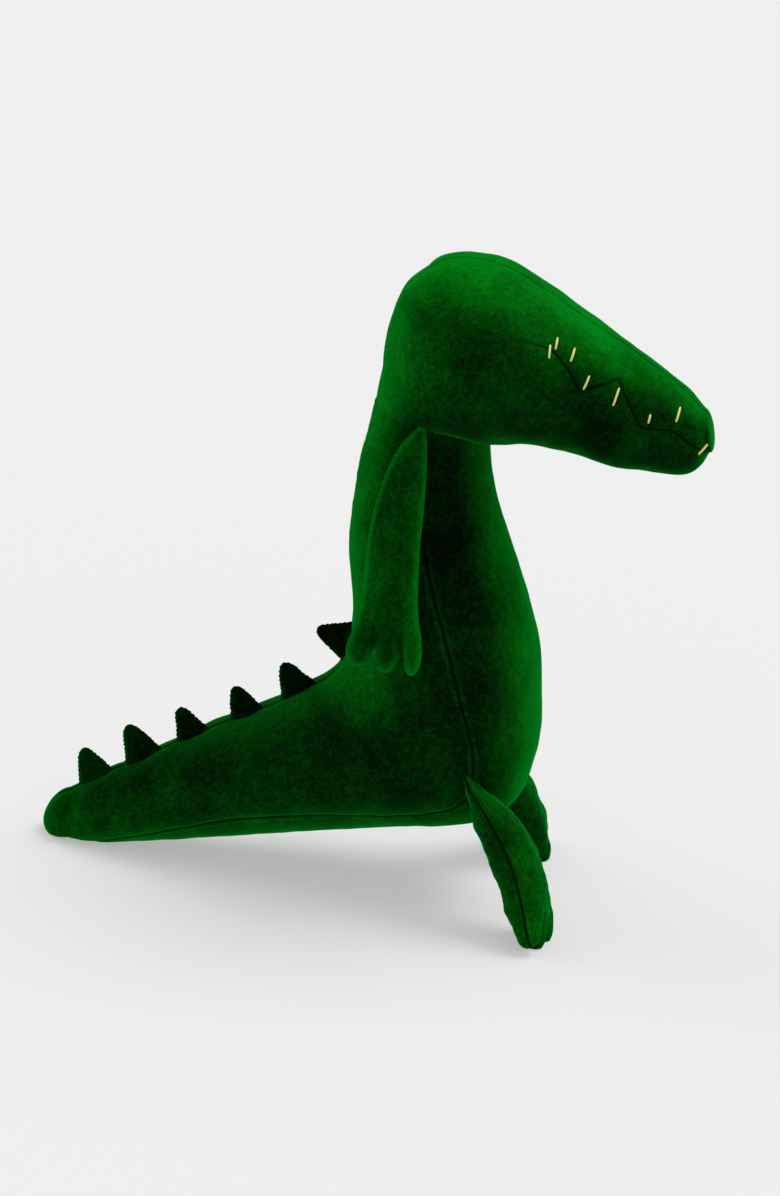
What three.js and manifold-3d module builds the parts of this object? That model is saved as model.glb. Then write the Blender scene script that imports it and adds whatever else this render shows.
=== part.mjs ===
// A stuffed toy dinosaur, sewn from short-pile fabric and filled with loose fibre.
// It leans back a little and stands on three points: the toes of its feet and the tail's tip.
//
// Millimetres. +X points towards the snout, +Y to the toy's left and +Z up. The origin is on the
// floor, under the middle of the bounding box. The sewing is symmetric about the XZ plane.

import * as THREE from 'three';
import Module from 'manifold-3d';

const wasm = await Module();
wasm.setup();

// ---- Driving dimensions ----------------------------------------------------------------------

const FABRIC = 2.0; // thickness of the pile fabric
const GAP = 0.35; // clearance between pieces that lie against each other
const FILLING_INSET = 4.6; // depth of the filling's surface below the outside of the pile
const THREAD = 1.6; // diameter of a tooth stitch
const AROUND = 20; // points once round a stuffed form

const NECK = { x: 14, z: 304 }; // middle of the neck seam: the head tips about it
const TAIL_ROOT = { x: -17, z: 78 }; // middle of the tail's root: the tail wags about it
const HIP = { x: 69, y: 46, z: 80 }; // middle of a leg's root
const FOOT = { x: 115, y: 84, z: 5 }; // middle of a leg's toes
const SHOULDER = { x: 9, y: 41, z: 302 }; // middle of the short tab that an arm hangs from
const ARM_TOP = { x: 4, y: 46.5, z: 297 }; // top of an arm, just below its tab

const HEAD_NOD = [-25, 12]; // degrees about +Y: snout down is positive
const TAIL_WAG = [-20, 20]; // degrees about +Z
const LEG_SWING = [-20, 20]; // degrees about +Y
const SWEEP_POSES = 4; // poses that the space swept by a moving part is joined from
const SWEEP_CLEARANCE = 1.9; // room left round a moving part

// Each station of a form is one ellipse across the middle plane:
// [back x, back z, front x, front z, half width, seam angle]. The seam angle, in degrees from the
// front, is where the side seam between the two kinds of panel crosses that ellipse.
const TORSO_STATIONS = [
  [-12, 48, 18, 36, 22, 100],
  [-20, 70, 46, 38, 42, 88],
  [-24, 95, 72, 44, 55, 64],
  [-26, 118, 97, 62, 62, 60],
  [-23, 138, 107, 97, 66, 70],
  [-18, 158, 105, 137, 66, 79],
  [-21, 186, 95, 180, 62, 88],
  [-26, 224, 78, 221, 54, 92],
  [-27, 268, 61, 260, 44, 93],
  [-21, 306, 50, 300, 36, 94],
];
const TAIL_STATIONS = [
  [-30, 126, -4, 31, 57, 68],
  [-45, 115, -17, 28, 54, 68],
  [-62, 102, -32, 25, 49, 69],
  [-82, 90, -54, 21, 43, 69],
  [-105, 76, -81, 16, 36, 70],
  [-131, 60, -112, 10, 29, 72],
  [-157, 43, -144, 2, 21, 75],
  [-177, 28, -169, -3, 13, 80],
];
const HEAD_STATIONS = [
  [-21, 310, 50, 303, 36, 109],
  [-21.5, 332, 61, 294, 45, 114],
  [-21.5, 351, 75, 297, 52, 117],
  [-19, 369, 89, 297, 57, 123],
  [-13.5, 384, 100, 295, 60, 130],
  [-2, 396, 107, 294, 62, 118],
  [8, 406, 113, 293, 62, 114],
  [24, 412, 121, 291, 60, 112],
  [45, 411, 127, 290, 57, 112],
  [71, 399.5, 139, 290, 51, 94],
  [101, 383.5, 151, 291, 44, 105],
  [127.5, 368.5, 165, 291, 37, 93],
  [150, 356, 176, 294, 31, 102],
  [168, 346, 184, 300, 26, 91],
  [181, 335, 188.5, 308, 18, 86],
];
const NAPE_END = 6; // the head station where the nape seams meet on top of the head
const CHEEK_START = 4; // the head station where the cheek seam leaves the nape seam
const NAPE_ANGLES = [109, 114, 117, 123, 130, 146, 176];

// Where the tooth stitches cross the mouth: [head station, degrees above the mouth seam, lean]
const TOOTH_STITCHES = [
  [7.9, 4, -0.03],
  [8.15, 9, 0.05],
  [8.4, 7, 0.06],
  [8.95, 6, 0.1],
  [10.0, 9, 0.12],
  [11.0, 8, 0.06],
  [12.0, 9, 0.1],
  [13.3, 8, 0.15],
];
const STITCH_ANGLE = 7; // degrees of the head's girth that half a stitch covers

// The spikes of the back seam, from the tail's tip up to the back: base ends and tip, as x and z
const SPIKES = [
  { low: [-173, 31], tip: [-173, 58], high: [-153, 46] },
  { low: [-146, 50], tip: [-147, 77], high: [-125, 64] },
  { low: [-116, 69], tip: [-116, 93], high: [-97, 81] },
  { low: [-85, 88], tip: [-83, 112], high: [-66, 100] },
  { low: [-54, 107], tip: [-55, 132], high: [-35, 121] },
  { low: [-23, 140], tip: [-38, 156], high: [-19, 166] },
];
const SPIKE_THICKNESS = 11;
const SPIKE_EDGE = 2; // how far a spike's rounded edge reaches in
const SPIKE_ROOT = 10; // how far a spike's base is sunk below the skin
const SPIKE_ROUNDING = 0.3; // share of a spike's sides that its rounded tip takes up

// Half outlines of the flat limbs: [distance from the root, half width]
const ARM_OUTLINE = [
  [0, 7],
  [14, 11],
  [34, 15],
  [70, 16.5],
  [110, 18.5],
  [128, 22],
];
const LEG_OUTLINE = [
  [0, 22],
  [25, 21],
  [50, 20],
  [75, 22],
  [92, 25],
];
const ARM = { outline: ARM_OUTLINE, length: 147, thickness: 20, rootThickness: 7, edgeRound: 3.6 };
const LEG = { outline: LEG_OUTLINE, length: 107, thickness: 31, rootThickness: 31, edgeRound: 5 };
const ARM_SPLAY = 14; // degrees that an arm leans outwards over the flank
const TAB = { length: 9, thickness: 2.5, height: 5.6, lean: 20 }; // lean in degrees
const ROOT_TAPER = 45; // length over which a limb thickens from its root

// ---- Materials -------------------------------------------------------------------------------

const PILE = { color: 0x174a2e, roughness: 0.95, metalness: 0 };
const FIBRE = { color: 0xf1efe8, roughness: 1, metalness: 0 };
const FLOSS = { color: 0xeadf95, roughness: 0.6, metalness: 0 };

// ---- Solids ----------------------------------------------------------------------------------

function degrees(angle) {
  return THREE.MathUtils.degToRad(angle);
}

// A closed solid from its corners and triangles. Corners in the same place become one corner.
function solidFrom(points, triangles) {
  const found = new Map();
  const corners = [];
  const indexOf = points.map((p) => {
    const key = `${Math.round(p.x * 1e4)},${Math.round(p.y * 1e4)},${Math.round(p.z * 1e4)}`;
    if (!found.has(key)) {
      found.set(key, corners.length / 3);
      corners.push(p.x, p.y, p.z);
    }
    return found.get(key);
  });
  const faces = [];
  for (const [a, b, c] of triangles) {
    const [i, j, k] = [indexOf[a], indexOf[b], indexOf[c]];
    if (i !== j && j !== k && k !== i) faces.push(i, j, k);
  }
  const vertProperties = new Float32Array(corners);
  const triVerts = new Uint32Array(faces);
  return new wasm.Manifold(new wasm.Mesh({ numProp: 3, vertProperties, triVerts }));
}

// A closed solid from a three.js geometry, changed by an optional function of each corner.
function solidFromGeometry(geometry, move = (p) => p) {
  const source = geometry.index ? geometry.toNonIndexed() : geometry;
  const position = source.getAttribute('position');
  const points = [];
  const triangles = [];
  for (let i = 0; i < position.count; i += 1) {
    points.push(move(new THREE.Vector3().fromBufferAttribute(position, i)));
    if (i % 3 === 2) triangles.push([i - 2, i - 1, i]);
  }
  return solidFrom(points, triangles);
}

// The two triangles of each cell of a grid whose rows start at the given index.
function gridTriangles(rows, columns, start, flipped) {
  const triangles = [];
  for (let i = 0; i < rows - 1; i += 1) {
    for (let j = 0; j < columns - 1; j += 1) {
      const a = start + i * columns + j;
      const b = a + 1;
      const c = a + columns;
      const d = c + 1;
      triangles.push(flipped ? [a, c, b] : [a, b, c]);
      triangles.push(flipped ? [b, c, d] : [b, d, c]);
    }
  }
  return triangles;
}

// A thin sheet between an outer and an inner grid of the same size, closed round its edges.
function sheetSolid(outer, inner) {
  const rows = outer.length;
  const columns = outer[0].length;
  const size = rows * columns;
  const points = [...outer.flat(), ...inner.flat()];
  const triangles = gridTriangles(rows, columns, 0, false);
  triangles.push(...gridTriangles(rows, columns, size, true));
  const wall = (a, b) => {
    triangles.push([b, a, a + size]);
    triangles.push([b, a + size, b + size]);
  };
  for (let j = 0; j < columns - 1; j += 1) {
    wall(j, j + 1);
    wall(size - 1 - j, size - 2 - j);
  }
  for (let i = 0; i < rows - 1; i += 1) {
    wall((i + 1) * columns, i * columns);
    wall((i + 1) * columns - 1, (i + 2) * columns - 1);
  }
  return solidFrom(points, triangles);
}

// The largest of the bodies that a cut leaves.
function largest(solid) {
  const bodies = solid.decompose();
  return bodies.sort((a, b) => b.volume() - a.volume())[0];
}

// The space that a solid takes up while it turns about an axis through a pivot.
function sweep(solid, pivot, axis, [from, to]) {
  const poses = [];
  for (let i = 0; i < SWEEP_POSES; i += 1) {
    const angle = THREE.MathUtils.lerp(from, to, i / (SWEEP_POSES - 1));
    const turn = new THREE.Matrix4().makeTranslation(pivot.x, pivot.y ?? 0, pivot.z);
    turn.multiply(new THREE.Matrix4().makeRotationAxis(axis, degrees(angle)));
    turn.multiply(new THREE.Matrix4().makeTranslation(-pivot.x, -(pivot.y ?? 0), -pivot.z));
    poses.push(solid.transform(turn.elements));
  }
  return wasm.Manifold.union(poses);
}

// ---- Stuffed forms ---------------------------------------------------------------------------

// A stuffed form: ellipses lofted along smooth outlines, closed by a dome at each end. The row r
// runs from -1, the first dome's pole, through the stations 0, 1, 2..., to the last dome's pole.
class Form {
  constructor(stations, startDome, endDome) {
    this.last = stations.length - 1;
    this.startDome = startDome;
    this.endDome = endDome;
    this.curves = stations[0].map(
      (_, k) => new THREE.SplineCurve(stations.map((s, i) => new THREE.Vector2(i, s[k]))),
    );
  }

  values(r) {
    const t = THREE.MathUtils.clamp(r / this.last, 0, 1);
    return this.curves.map((curve) => curve.getPoint(t).y);
  }

  seam(r) {
    return this.values(r)[5];
  }

  surface(r, angle) {
    const [backX, backZ, frontX, frontZ, halfWidth] = this.values(r);
    const beyond = r < 0 ? -r : Math.max(0, r - this.last);
    const shrink = Math.cos(beyond * Math.PI * 0.5);
    const reach = Math.sin(beyond * Math.PI * 0.5) * (r < 0 ? -this.startDome : this.endDome);
    const half = new THREE.Vector3((frontX - backX) / 2, 0, (frontZ - backZ) / 2);
    const along = new THREE.Vector3(half.z, 0, -half.x).normalize().multiplyScalar(this.turn());
    return new THREE.Vector3((backX + frontX) / 2, 0, (backZ + frontZ) / 2)
      .addScaledVector(half, shrink * Math.cos(degrees(angle)))
      .addScaledVector(new THREE.Vector3(0, halfWidth, 0), shrink * Math.sin(degrees(angle)))
      .addScaledVector(along, reach);
  }

  // +1 or -1: the side of the first ellipse on which the second one lies.
  turn() {
    const first = this.values(0);
    const next = this.values(1);
    const half = [(first[2] - first[0]) / 2, (first[3] - first[1]) / 2];
    const step = [next[0] + next[2] - first[0] - first[2], next[1] + next[3] - first[1] - first[3]];
    return Math.sign(half[1] * step[0] - half[0] * step[1]);
  }

  normal(r, angle) {
    const row = THREE.MathUtils.clamp(r, -0.95, this.last + 0.95);
    const alongRow = this.surface(row + 0.02, angle).sub(this.surface(row - 0.02, angle));
    const alongGirth = this.surface(row, angle + 1).sub(this.surface(row, angle - 1));
    return alongRow.cross(alongGirth).normalize().multiplyScalar(this.turn());
  }

  // A point of the surface moved in by an inset, and never nearer to the floor than the inset.
  point(r, angle, inset = 0) {
    const p = this.surface(r, angle).addScaledVector(this.normal(r, angle), -inset);
    p.z = Math.max(p.z, inset);
    return p;
  }

  // The rows of a part of the form: the stations, two more rows in each dome and any extra ones.
  rows(from, to, extra = []) {
    const all = [-0.75, -0.35, ...extra];
    for (let r = 0; r <= this.last; r += 1) all.push(r);
    all.push(this.last + 0.35, this.last + 0.75);
    all.sort((a, b) => a - b);
    return [from, ...all.filter((r) => r > from + 0.05 && r < to - 0.05), to];
  }

  grid(rows, edgeA, edgeB, columns, inset) {
    return rows.map((r) => {
      const line = [];
      for (let j = 0; j <= columns; j += 1) {
        const angle = THREE.MathUtils.lerp(edgeA(r), edgeB(r), j / columns);
        line.push(this.point(r, angle, inset));
      }
      return line;
    });
  }

  // The whole form as one closed solid, moved in by an inset. It serves as the fibre filling and
  // as the space that a neighbour has to leave free.
  solid(inset) {
    const rows = this.rows(-1, this.last + 1);
    const grid = this.grid(rows, () => 0, () => 360, AROUND, inset);
    for (const line of grid) line[AROUND].copy(line[0]);
    for (const line of [grid[0], grid[grid.length - 1]]) line.forEach((p) => p.copy(line[0]));
    const flipped = this.turn() > 0;
    return solidFrom(grid.flat(), gridTriangles(rows.length, AROUND + 1, 0, flipped));
  }

  // One fabric panel: the part of the surface between two rows and two seams, fabric thick.
  panel(from, to, edgeA, edgeB, columns, extraRows = []) {
    const rows = this.rows(from, to, extraRows);
    const outer = this.grid(rows, edgeA, edgeB, columns, 0);
    const inner = this.grid(rows, edgeA, edgeB, columns, FABRIC);
    for (const line of [...outer, ...inner]) {
      const first = line[1].clone().sub(line[0]).setLength(GAP / 2);
      const last = line[columns - 1].clone().sub(line[columns]).setLength(GAP / 2);
      line[0].add(first);
      line[columns].add(last);
    }
    return this.turn() > 0 ? sheetSolid(inner, outer) : sheetSolid(outer, inner);
  }
}

const torsoForm = new Form(TORSO_STATIONS, 6, 0);
const tailForm = new Form(TAIL_STATIONS, 34, 17.5);
const headForm = new Form(HEAD_STATIONS, 26, 4);

// ---- Limbs and spikes: flat pillows ----------------------------------------------------------

// The outline of a limb, across and down from its root, with three rounded toes at its end.
function limbShape({ outline, length }) {
  const side = new THREE.SplineCurve(outline.map(([down, half]) => new THREE.Vector2(half, -down)));
  const right = side.getPoints(5);
  const palm = right[right.length - 1];
  const toeHalf = palm.x / 3;
  const toeDepth = length + palm.y;
  const toes = [];
  for (const middle of [2 * toeHalf, 0, -2 * toeHalf]) {
    for (const turn of [0.14, 0.38, 0.62, 0.86]) {
      const x = middle + toeHalf * 1.05 * Math.cos(turn * Math.PI);
      toes.push(new THREE.Vector2(x, palm.y - toeDepth * Math.sin(turn * Math.PI)));
    }
  }
  const left = right.map((p) => new THREE.Vector2(-p.x, p.y)).reverse();
  return new THREE.Shape([...right, ...toes, ...left]);
}

// A pillow of a flat outline: its edge is rounded, and its cap keeps the same outline whatever
// the inset, so that the fingers never fold over. The thickness is along z.
function pillow(shape, thickness, inset, edgeRound, taper) {
  const round = edgeRound - inset;
  const depth = thickness - 2 * edgeRound;
  const geometry = new THREE.ExtrudeGeometry(shape, {
    depth,
    curveSegments: 3,
    bevelThickness: round,
    bevelSize: round,
    bevelOffset: -edgeRound,
    bevelSegments: inset > 0 ? 1 : 2,
  });
  geometry.translate(0, 0, -depth / 2);
  return solidFromGeometry(geometry, (p) => p.setZ(p.z * taper(-p.y)));
}

// A limb is two panels sewn edge to edge round a filling. Its root is at the group's origin, it
// runs along the group's -Y, and its panels face the group's +Z and -Z.
function limbSolids(limb) {
  const shape = limbShape(limb);
  const root = limb.rootThickness / limb.thickness;
  const taper = (down) => THREE.MathUtils.lerp(root, 1, THREE.MathUtils.smoothstep(down, 0, ROOT_TAPER));
  const make = (inset) => pillow(shape, limb.thickness, inset, limb.edgeRound, taper);
  return { outer: make(0), inner: make(FABRIC), filling: make(FABRIC + GAP), grown: make(-SWEEP_CLEARANCE) };
}

const WIDE = 600;

// A large box whose top face is the plane z = height.
function boxBelow(height) {
  const box = new THREE.BoxGeometry(WIDE, WIDE, WIDE);
  return solidFromGeometry(box.translate(0, 0, height - WIDE / 2));
}

// A large box whose bottom face is the plane z = height.
function boxAbove(height) {
  const box = new THREE.BoxGeometry(WIDE, WIDE, WIDE);
  return solidFromGeometry(box.translate(0, 0, height + WIDE / 2));
}

function spikeShape({ low, tip, high }) {
  const shape = new THREE.Shape();
  const corner = new THREE.Vector2(...tip);
  const a = new THREE.Vector2(...low);
  const b = new THREE.Vector2(...high);
  const inwards = corner.clone().sub(a.clone().add(b).multiplyScalar(0.5)).setLength(-SPIKE_ROOT);
  const rootA = a.clone().add(inwards);
  const rootB = b.clone().add(inwards);
  const nearA = corner.clone().lerp(a, SPIKE_ROUNDING);
  const nearB = corner.clone().lerp(b, SPIKE_ROUNDING);
  shape.moveTo(rootA.x, rootA.y);
  shape.lineTo(a.x, a.y);
  shape.lineTo(nearA.x, nearA.y);
  shape.quadraticCurveTo(corner.x, corner.y, nearB.x, nearB.y);
  shape.lineTo(b.x, b.y);
  shape.lineTo(rootB.x, rootB.y);
  return shape;
}

function spikeSolid(spike, host) {
  const solid = pillow(spikeShape(spike), SPIKE_THICKNESS, 0, SPIKE_EDGE, () => 1);
  const upright = new THREE.Matrix4().makeRotationX(Math.PI / 2);
  return largest(solid.transform(upright.elements).subtract(host));
}

// ---- Assembly --------------------------------------------------------------------------------

const toy = new THREE.Group();

function add(name, solid, look, parent = toy) {
  const body = largest(solid);
  const { vertProperties, triVerts } = body.getMesh();
  const geometry = new THREE.BufferGeometry();
  geometry.setAttribute('position', new THREE.BufferAttribute(vertProperties, 3));
  geometry.setIndex(new THREE.BufferAttribute(triVerts, 1));
  const mesh = new THREE.Mesh(geometry, new THREE.MeshStandardMaterial(look));
  mesh.name = name;
  parent.add(mesh);
}

const Y_AXIS = new THREE.Vector3(0, 1, 0);
const Z_AXIS = new THREE.Vector3(0, 0, 1);

// A limb's group, placed at a side of the toy: side is +1 on its left and -1 on its right.
function legGroup(side) {
  const group = new THREE.Group();
  const hip = new THREE.Vector3(HIP.x, side * HIP.y, HIP.z);
  const foot = new THREE.Vector3(FOOT.x, side * FOOT.y, FOOT.z);
  const up = hip.clone().sub(foot).normalize();
  const facing = new THREE.Vector3().crossVectors(Y_AXIS, up).normalize();
  const across = new THREE.Vector3().crossVectors(up, facing);
  group.applyMatrix4(new THREE.Matrix4().makeBasis(across, up, facing).setPosition(hip));
  toy.add(group);
  return group;
}

function armGroup(side) {
  const group = new THREE.Group();
  group.position.set(ARM_TOP.x, side * ARM_TOP.y, ARM_TOP.z);
  group.rotation.set(Math.PI / 2 + side * degrees(ARM_SPLAY), 0, 0);
  toy.add(group);
  return group;
}

const spikeHosts = { tail: tailForm.solid(-GAP), torso: torsoForm.solid(-GAP) };
const legSolids = limbSolids(LEG);
const armSolids = limbSolids(ARM);
const sides = { left: 1, right: -1 };

// The sockets that the moving parts need in the torso
const sockets = [
  sweep(headForm.solid(-SWEEP_CLEARANCE), NECK, Y_AXIS, HEAD_NOD),
  sweep(tailForm.solid(-SWEEP_CLEARANCE), TAIL_ROOT, Z_AXIS, TAIL_WAG),
];
const groups = {};
for (const [name, side] of Object.entries(sides)) {
  groups[name] = { leg: legGroup(side), arm: armGroup(side) };
  groups[name].leg.updateMatrixWorld();
  const placed = legSolids.grown.transform(groups[name].leg.matrixWorld.elements);
  sockets.push(sweep(placed, { x: HIP.x, y: side * HIP.y, z: HIP.z }, Y_AXIS, LEG_SWING));
}
const socket = wasm.Manifold.union(sockets);

const FIRST_EDGE = -0.9; // the row of a panel's edge, in a form's first dome
const top = () => 180;
const other = (edge) => (r) => 360 - edge(r);

// Torso: a belly panel, two back panels and the filling
const torsoSeam = (r) => torsoForm.seam(r);
const torsoPanel = (edgeA, edgeB, columns) => {
  const whole = torsoForm.panel(FIRST_EDGE, torsoForm.last, edgeA, edgeB, columns);
  return whole.subtract(socket);
};
add('belly_panel', torsoPanel((r) => -torsoSeam(r), torsoSeam, 8), PILE);
add('back_panel_left', torsoPanel(torsoSeam, top, 5), PILE);
add('back_panel_right', torsoPanel(top, other(torsoSeam), 5), PILE);
add('torso_stuffing', torsoForm.solid(FILLING_INSET).subtract(socket), FIBRE);

// Head: nape panels behind, crown panels above the mouth and jaw panels below it
const headEnd = headForm.last + 0.9;
const napeAngle = new THREE.SplineCurve(NAPE_ANGLES.map((angle, i) => new THREE.Vector2(i, angle)));
const napeSeam = (r) => napeAngle.getPoint(THREE.MathUtils.clamp(r / NAPE_END, 0, 1)).y;
const mouthSeam = (r) => (r < CHEEK_START ? napeSeam(r) : headForm.seam(r));
const crownTop = (r) => (r < NAPE_END ? napeSeam(r) : 180);
const crownStart = CHEEK_START + 0.3;
const crownRows = [4.65, 5.35, 5.7];
const napeEnd = NAPE_END - 0.4;
const otherCrownTop = other(crownTop);
add('nape_left', headForm.panel(FIRST_EDGE, napeEnd, napeSeam, top, 3, crownRows), PILE);
add('nape_right', headForm.panel(FIRST_EDGE, napeEnd, top, other(napeSeam), 3, crownRows), PILE);
const crownPanel = (edgeA, edgeB) => headForm.panel(crownStart, headEnd, edgeA, edgeB, 4, crownRows);
add('crown_left', crownPanel(mouthSeam, crownTop), PILE);
add('crown_right', crownPanel(otherCrownTop, other(mouthSeam)), PILE);
add('jaw_left', headForm.panel(FIRST_EDGE, headEnd, () => 0, mouthSeam, 5, crownRows), PILE);
add('jaw_right', headForm.panel(FIRST_EDGE, headEnd, other(mouthSeam), () => 360, 5, crownRows), PILE);
add('head_stuffing', headForm.solid(FILLING_INSET + 1), FIBRE);

// Tooth stitches: short straight stitches of thick thread across the mouth seam
function toothStitch([row, above, lean], side) {
  const path = [-1, -0.5, 0, 0.5, 1].map((t) => {
    const angle = side * (headForm.seam(row) + above + t * STITCH_ANGLE);
    return headForm.point(row + t * lean, angle, -(THREAD / 2 + 2 * GAP));
  });
  const circle = new THREE.Shape().absarc(0, 0, THREAD / 2, 0, Math.PI * 2);
  const extrudePath = new THREE.CatmullRomCurve3(path);
  const options = { extrudePath, steps: 3, curveSegments: 3, bevelEnabled: false };
  return solidFromGeometry(new THREE.ExtrudeGeometry(circle, options));
}
for (const [name, side] of Object.entries(sides)) {
  TOOTH_STITCHES.forEach((stitch, i) => {
    add(`tooth_stitch_${name}_${i + 1}`, toothStitch(stitch, side), FLOSS);
  });
}

// Tail: two side panels, an underside panel and the filling
const tailEnd = tailForm.last + 0.85;
const tailSeam = (r) => tailForm.seam(r);
add('tail_panel_left', tailForm.panel(FIRST_EDGE, tailEnd, tailSeam, top, 5), PILE);
add('tail_panel_right', tailForm.panel(FIRST_EDGE, tailEnd, top, other(tailSeam), 5), PILE);
add('tail_underside_panel', tailForm.panel(FIRST_EDGE, tailEnd, (r) => -tailSeam(r), tailSeam, 6), PILE);
add('tail_stuffing', tailForm.solid(FILLING_INSET), FIBRE);

// Spikes: the last one is on the back, the others on the tail
SPIKES.forEach((spike, i) => {
  const onBack = i === SPIKES.length - 1;
  const name = onBack ? 'back_spike' : `tail_spike_${i + 1}`;
  add(name, spikeSolid(spike, onBack ? spikeHosts.torso : spikeHosts.tail), PILE);
});

// Limbs: a front and a back panel and the filling, sewn up along one edge seam
function addLimb(name, group, solids, floor) {
  const toLocal = group.matrixWorld.clone().invert().elements;
  const floorBox = floor ? boxBelow(0).transform(toLocal) : null;
  const soleBox = floor ? boxBelow(FABRIC).transform(toLocal) : null;
  const fillingBox = floor ? boxBelow(FABRIC + GAP).transform(toLocal) : null;
  const trim = (solid, box) => (box ? solid.subtract(box) : solid);
  const skin = trim(solids.outer, floorBox).subtract(trim(solids.inner, soleBox));
  add(`${name}_front_panel`, skin.subtract(boxBelow(GAP / 2)), PILE, group);
  add(`${name}_back_panel`, skin.subtract(boxAbove(-GAP / 2)), PILE, group);
  add(`${name}_stuffing`, trim(solids.filling, fillingBox), FIBRE, group);
}
for (const name of Object.keys(sides)) {
  groups[name].arm.updateMatrixWorld();
  addLimb(`leg_${name}`, groups[name].leg, legSolids, true);
  addLimb(`arm_${name}`, groups[name].arm, armSolids, false);
}

// Arm roots: the short flat tab at the top of each arm, caught in the side seam
for (const [name, side] of Object.entries(sides)) {
  const tab = new THREE.BoxGeometry(TAB.length, TAB.thickness, TAB.height);
  tab.rotateX(side * degrees(TAB.lean));
  tab.translate(SHOULDER.x, side * SHOULDER.y, SHOULDER.z);
  add(`arm_${name}_root`, solidFromGeometry(tab), PILE);
}

export default toy;
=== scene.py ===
"""Looks of the stuffed dinosaur: a velour skin sewn from panels, stuffed, with floss teeth."""

import math

import bpy
import numpy as np
from mathutils import Matrix
from mathutils.bvhtree import BVHTree


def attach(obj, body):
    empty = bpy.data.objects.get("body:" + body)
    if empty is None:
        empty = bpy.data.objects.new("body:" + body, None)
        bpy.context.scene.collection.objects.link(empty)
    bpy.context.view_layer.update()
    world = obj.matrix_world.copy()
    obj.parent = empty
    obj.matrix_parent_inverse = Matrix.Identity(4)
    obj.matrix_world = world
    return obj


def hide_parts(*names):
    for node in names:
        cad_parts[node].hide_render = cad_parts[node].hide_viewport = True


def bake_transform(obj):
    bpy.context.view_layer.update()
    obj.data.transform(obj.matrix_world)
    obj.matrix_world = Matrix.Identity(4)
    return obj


MM = 0.001  # the tables and the shapes are in millimetres, the camera and the bends in metres
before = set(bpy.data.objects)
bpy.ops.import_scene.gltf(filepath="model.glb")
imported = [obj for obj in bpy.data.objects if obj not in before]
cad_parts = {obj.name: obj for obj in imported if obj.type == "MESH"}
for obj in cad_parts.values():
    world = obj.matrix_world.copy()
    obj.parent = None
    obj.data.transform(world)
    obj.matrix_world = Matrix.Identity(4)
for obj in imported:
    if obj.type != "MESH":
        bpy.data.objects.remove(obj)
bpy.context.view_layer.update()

# ---- Camera ----------------------------------------------------------------------------------

LOOK_DOWN = math.radians(20)
ROLL = math.radians(7.86)
AIM = np.array([0.0033, 0.0, 0.1835])
DISTANCE = 10.0
SENSOR = 36
LENS = 485.5
FORWARD = np.array([0.0, math.cos(LOOK_DOWN), -math.sin(LOOK_DOWN)])
UPWARD = np.array([0.0, math.sin(LOOK_DOWN), math.cos(LOOK_DOWN)])
RIGHTWARD = np.array([1.0, 0.0, 0.0])


def place(obj, right, up, back, where):
    """Turns an object so that its X, Y and Z axes are the three given unit vectors."""
    turn = Matrix([list(row) for row in np.array([right, up, back]).T])
    obj.matrix_world = Matrix.Translation(list(where)) @ turn.to_4x4()


def make_camera():
    data = bpy.data.cameras.new("camera")
    data.sensor_width = SENSOR
    data.lens = LENS
    obj = bpy.data.objects.new("camera", data)
    bpy.context.collection.objects.link(obj)
    right = math.cos(ROLL) * RIGHTWARD + math.sin(ROLL) * UPWARD
    up = -math.sin(ROLL) * RIGHTWARD + math.cos(ROLL) * UPWARD
    place(obj, right, up, -FORWARD, AIM - DISTANCE * FORWARD)
    bpy.context.scene.camera = obj


# ---- Curves and fields -----------------------------------------------------------------------


def table_curve(table, at):
    """Rows of a table joined by Catmull-Rom curves; at is a fractional row number per point."""
    table = np.asarray(table, float)
    ends = np.vstack([2 * table[0] - table[1], table, 2 * table[-1] - table[-2]])
    at = np.clip(np.asarray(at, float), 0, len(table) - 1 - 1e-9)
    i = at.astype(int)
    t = (at - i)[:, None]
    a, b, c, d = ends[i], ends[i + 1], ends[i + 2], ends[i + 3]
    return 0.5 * (
        2 * b + (c - a) * t + (2 * a - 5 * b + 4 * c - d) * t**2 + (3 * b - a - 3 * c + d) * t**3
    )


def even_steps(points, count):
    """Fractional indices of a dense polyline that cut its length into equal steps."""
    run = np.r_[0, np.cumsum(np.linalg.norm(np.diff(points, axis=0), axis=1))]
    return np.interp(np.linspace(0, run[-1], count), run, np.arange(len(points)))


def polyline(points, step):
    """A smooth curve through the points, cut into even steps of about the given length."""
    points = np.asarray(points, float)
    dense = table_curve(points, np.linspace(0, len(points) - 1, 40 * len(points)))
    length = np.linalg.norm(np.diff(dense, axis=0), axis=1).sum()
    at = even_steps(dense, max(int(length / step), 4))
    return np.stack([np.interp(at, np.arange(len(dense)), column) for column in dense.T], axis=1)


def straight_steps(points, step):
    """Straight stretches through the points, cut into even steps."""
    run = np.r_[0, np.cumsum(np.linalg.norm(np.diff(points, axis=0), axis=1))]
    at = np.linspace(0, run[-1], max(int(run[-1] / step), 8))
    return np.stack([np.interp(at, run, c) for c in points.T], 1)


def nearest(points, line):
    """Distance from each point to the nearest point of a line, and that point's number."""
    flat = points.reshape(-1, points.shape[-1]).astype(np.float32)
    line = line.astype(np.float32)
    away = np.full(len(flat), 1e9, np.float32)
    which = np.zeros(len(flat), np.int64)
    for part in np.array_split(np.arange(len(flat)), max(1, len(flat) // 8000)):
        gap = ((flat[part, None, :] - line[None, :, :]) ** 2).sum(-1)
        which[part] = gap.argmin(1)
        away[part] = np.sqrt(gap.min(1))
    return away.reshape(points.shape[:-1]), which.reshape(points.shape[:-1])


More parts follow.
